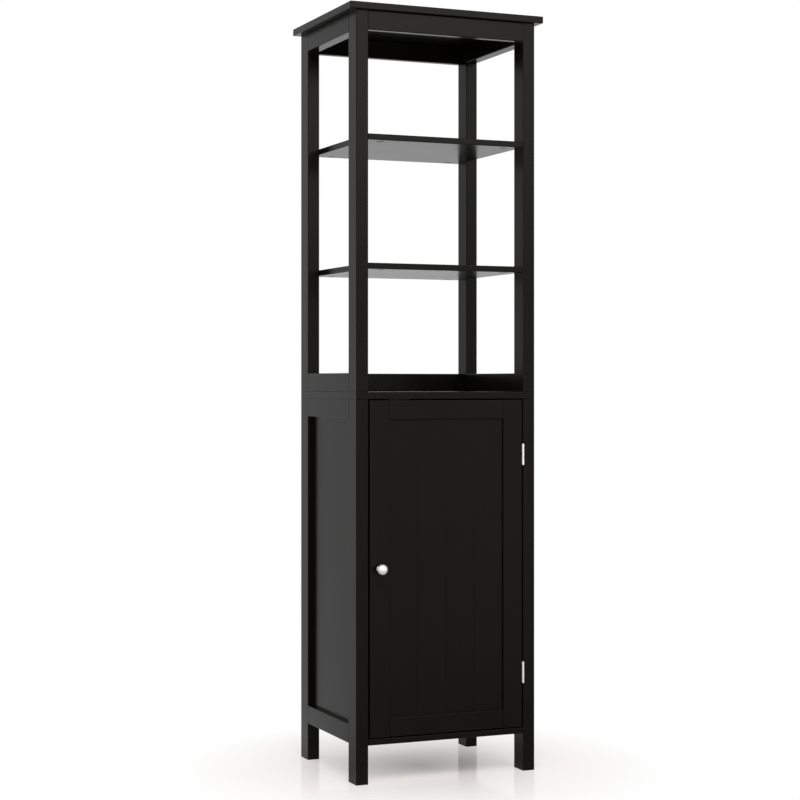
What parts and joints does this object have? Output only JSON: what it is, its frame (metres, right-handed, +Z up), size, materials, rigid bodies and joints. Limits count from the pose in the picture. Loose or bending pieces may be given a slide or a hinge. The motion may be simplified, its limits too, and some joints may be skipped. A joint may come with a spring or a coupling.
{
  "type": "tall bathroom cabinet",
  "caption": "Tall narrow bathroom cabinet: open rack with two shelves above a cupboard with a framed plank door, butt hinges, round knob and square legs.",
  "frame": {"origin": "on the floor, under the middle of the overall box: midway between the sides, and midway between the knob's face and the rear edge of the top board, 9 mm in front of the middle of the posts", "axes": "+X to the right as one faces the door, -Y out of the front, +Z up"},
  "size_m": [0.419, 0.346, 1.524],
  "materials": {
    "black_lacquer": "satin lacquered fibreboard",
    "back_board": "painted hardboard",
    "nickel": "satin nickel plate",
    "zinc_steel": "zinc-plated steel",
    "zinc_casting": "raw zinc casting",
    "catch_plastic": "moulded",
    "magnet_ferrite": "sintered",
    "beech_dowel": "fluted dowel, plain"
  },
  "bodies": {
    "cabinet": {"top_board": "black_lacquer", "front_apron": "black_lacquer", "rear_top_rail": "black_lacquer", "left_top_rail": "black_lacquer", "right_top_rail": "black_lacquer", "upper_front_left_post": "black_lacquer", "upper_front_right_post": "black_lacquer", "upper_rear_left_post": "black_lacquer", "upper_rear_right_post": "black_lacquer", "left_guard_rail": "black_lacquer", "right_guard_rail": "black_lacquer", "rear_guard_rail": "black_lacquer", "upper_open_shelf": "black_lacquer", "lower_open_shelf": "black_lacquer", "dividing_board": "black_lacquer", "lower_front_left_post": "black_lacquer", "lower_front_right_post": "black_lacquer", "lower_rear_left_post": "black_lacquer", "lower_rear_right_post": "black_lacquer", "left_side_top_rail": "black_lacquer", "left_side_bottom_rail": "black_lacquer", "right_side_top_rail": "black_lacquer", "right_side_bottom_rail": "black_lacquer", "left_side_panel": "black_lacquer", "right_side_panel": "black_lacquer", "bottom_board": "black_lacquer", "inner_shelf": "black_lacquer", "back_panel": "back_board", "shelf_pegs": "nickel", "hinge_frame_leaves": "nickel", "hinge_pins": "nickel", "post_studs": "zinc_steel", "back_panel_screws": "zinc_steel", "hinge_frame_screws": "zinc_steel", "catch_screws": "zinc_steel", "catch_pole_plates": "zinc_steel", "cam_bolts": "zinc_steel", "cam_locks": "zinc_casting", "catch_housing": "catch_plastic", "catch_magnet": "magnet_ferrite", "board_dowels": "beech_dowel", "frame_dowels": "beech_dowel"},
    "door": {"door_hinge_stile": "black_lacquer", "door_knob_stile": "black_lacquer", "door_top_rail": "black_lacquer", "door_bottom_rail": "black_lacquer", "door_panel": "black_lacquer", "door_dowels": "beech_dowel", "knob": "nickel", "knob_screw": "zinc_steel", "hinge_door_leaves": "nickel", "hinge_door_screws": "zinc_steel", "strike_plate": "zinc_steel", "strike_screw": "zinc_steel"}
  },
  "joints": [
    {"name": "door_hinge", "type": "hinge", "parent": "cabinet", "child": "door", "pos_m": [0.16715, -0.1505, 0.41925], "axis": [0, 0, 1], "range_deg": [0, 180]}
  ]
}
